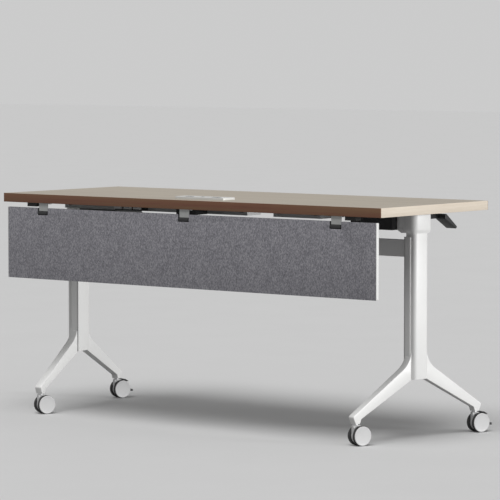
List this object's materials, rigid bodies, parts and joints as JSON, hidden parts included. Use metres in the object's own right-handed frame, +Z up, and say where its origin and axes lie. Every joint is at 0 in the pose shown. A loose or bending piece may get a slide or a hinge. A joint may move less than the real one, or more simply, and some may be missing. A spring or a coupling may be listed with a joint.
{
  "type": "flip-top training table",
  "caption": "Flip-top training table with splayed Y legs on castors, felt modesty panel that folds with the top, cable trays, release levers and a power module.",
  "frame": {"origin": "on the floor, midway between the two leg columns", "axes": "X runs along the table to its right-hand end as seen from the modesty panel's side, Y points away from the panel to the user's side, Z is up"},
  "size_m": [1.6138, 0.6226, 0.7675],
  "materials": {
    "worktop_board": "raw board",
    "worktop_laminate": "satin",
    "edge_wood": "satin",
    "backing_sheet": "matte",
    "module_metal": "satin",
    "module_plastic": "matte",
    "black_plastic": "fine texture",
    "white_plastic": "satin",
    "hood_plastic": "satin",
    "white_coat": "satin powder coat",
    "grey_coat": "satin powder coat",
    "bright_metal": "satin",
    "black_coat": "satin powder coat",
    "steel": "zinc plated",
    "felt": "pressed felt",
    "rubber": "matte",
    "castor_tread": "matte"
  },
  "bodies": {
    "base": {"leg_frame_right": "white_coat", "leg_frame_left": "white_coat", "outer_profile_right": "white_coat", "outer_profile_left": "white_coat", "inner_cover_right": "white_coat", "inner_cover_left": "white_coat", "column_head_right": "white_coat", "column_head_left": "white_coat", "pivot_pins": "steel", "lock_plates": "steel", "stretcher_beam": "white_coat", "beam_screws": "steel", "castor_stems": "steel"},
    "top": {"worktop_core": "worktop_board", "top_laminate": "worktop_laminate", "underside_sheet": "backing_sheet", "edge_bands_long": "edge_wood", "edge_bands_short": "edge_wood", "power_bezel": "module_metal", "power_sockets": "module_plastic", "power_wiring_box": "black_plastic", "cable_tray_long": "grey_coat", "cable_tray_short": "grey_coat", "tray_brackets": "bright_metal", "infeed_block": "black_plastic", "infeed_connectors": "white_plastic", "nesting_bumpers": "rubber", "tilt_housing_right": "black_coat", "tilt_housing_left": "black_coat", "underside_screws": "steel", "lever_pins": "steel", "hinge_straps": "grey_coat", "hinge_barrels": "black_coat", "hinge_pins": "steel"},
    "modesty_panel": {"panel_board": "worktop_board", "panel_felt_front": "felt", "panel_felt_rear": "felt", "panel_end_trims": "white_plastic"},
    "lever_right": {"lever_arm_right": "steel", "lever_paddle_right": "black_plastic"},
    "lever_left": {"lever_arm_left": "steel", "lever_paddle_left": "black_plastic"},
    "swivel_front_left": {"castor_front_left_hood": "hood_plastic", "castor_front_left_axle": "steel"},
    "wheels_front_left": {"castor_front_left_tyres": "castor_tread", "castor_front_left_hub_discs": "white_plastic"},
    "swivel_front_right": {"castor_front_right_hood": "hood_plastic", "castor_front_right_axle": "steel"},
    "wheels_front_right": {"castor_front_right_tyres": "castor_tread", "castor_front_right_hub_discs": "white_plastic"},
    "swivel_rear_left": {"castor_rear_left_hood": "hood_plastic", "castor_rear_left_axle": "steel"},
    "wheels_rear_left": {"castor_rear_left_tyres": "castor_tread", "castor_rear_left_hub_discs": "white_plastic"},
    "swivel_rear_right": {"castor_rear_right_hood": "hood_plastic", "castor_rear_right_axle": "steel"},
    "wheels_rear_right": {"castor_rear_right_tyres": "castor_tread", "castor_rear_right_hub_discs": "white_plastic"},
    "pedal_rear_left": {"castor_rear_left_brake_pedal": "black_plastic"},
    "pedal_rear_right": {"castor_rear_right_brake_pedal": "black_plastic"}
  },
  "joints": [
    {"name": "top_tilt", "type": "hinge", "parent": "base", "child": "top", "pos_m": [0, 0.042, 0.718], "axis": [-1, 0, 0], "range_deg": [0, 90]},
    {"name": "panel_swing", "type": "hinge", "parent": "top", "child": "modesty_panel", "pos_m": [0, -0.295, 0.696], "axis": [1, 0, 0], "range_deg": [0, 90]},
    {"name": "lever_right_pull", "type": "hinge", "parent": "top", "child": "lever_right", "pos_m": [0.659, 0.066, 0.686], "axis": [1, 0, 0], "range_deg": [0, 5], "stiffness_Nm_per_rad": 0.15, "springref_deg": -20.05},
    {"name": "lever_left_pull", "type": "hinge", "parent": "top", "child": "lever_left", "pos_m": [-0.659, 0.066, 0.686], "axis": [1, 0, 0], "range_deg": [0, 5], "stiffness_Nm_per_rad": 0.15, "springref_deg": -20.05},
    {"name": "castor_front_left_swivel", "type": "hinge", "parent": "base", "child": "swivel_front_left", "pos_m": [-0.67217, -0.25937, 0.05], "axis": [0, 0, 1], "continuous": true},
    {"name": "castor_front_left_roll", "type": "hinge", "parent": "swivel_front_left", "child": "wheels_front_left", "pos_m": [-0.6668, -0.24537, 0.032], "axis": [0.9336, -0.3584, 0], "continuous": true},
    {"name": "castor_front_right_swivel", "type": "hinge", "parent": "base", "child": "swivel_front_right", "pos_m": [0.67217, -0.25937, 0.05], "axis": [0, 0, 1], "continuous": true},
    {"name": "castor_front_right_roll", "type": "hinge", "parent": "swivel_front_right", "child": "wheels_front_right", "pos_m": [0.67755, -0.24537, 0.032], "axis": [0.9336, -0.3584, 0], "continuous": true},
    {"name": "castor_rear_left_swivel", "type": "hinge", "parent": "base", "child": "swivel_rear_left", "pos_m": [-0.77583, 0.25937, 0.05], "axis": [0, 0, 1], "continuous": true},
    {"name": "castor_rear_left_roll", "type": "hinge", "parent": "swivel_rear_left", "child": "wheels_rear_left", "pos_m": [-0.77045, 0.27338, 0.032], "axis": [0.9336, -0.3584, 0], "continuous": true},
    {"name": "castor_rear_right_swivel", "type": "hinge", "parent": "base", "child": "swivel_rear_right", "pos_m": [0.77583, 0.25937, 0.05], "axis": [0, 0, 1], "continuous": true},
    {"name": "castor_rear_right_roll", "type": "hinge", "parent": "swivel_rear_right", "child": "wheels_rear_right", "pos_m": [0.7812, 0.27338, 0.032], "axis": [0.9336, -0.3584, 0], "continuous": true},
    {"name": "castor_rear_left_brake", "type": "hinge", "parent": "swivel_rear_left", "child": "pedal_rear_left", "pos_m": [-0.76687, 0.28271, 0.05], "axis": [-0.9336, 0.3584, 0], "range_deg": [0, 6]},
    {"name": "castor_rear_right_brake", "type": "hinge", "parent": "swivel_rear_right", "child": "pedal_rear_right", "pos_m": [0.78479, 0.28271, 0.05], "axis": [-0.9336, 0.3584, 0], "range_deg": [0, 6]}
  ],
  "couplings": [
    {"joint": "panel_swing", "follows": "top_tilt", "ratio": 1}
  ]
}
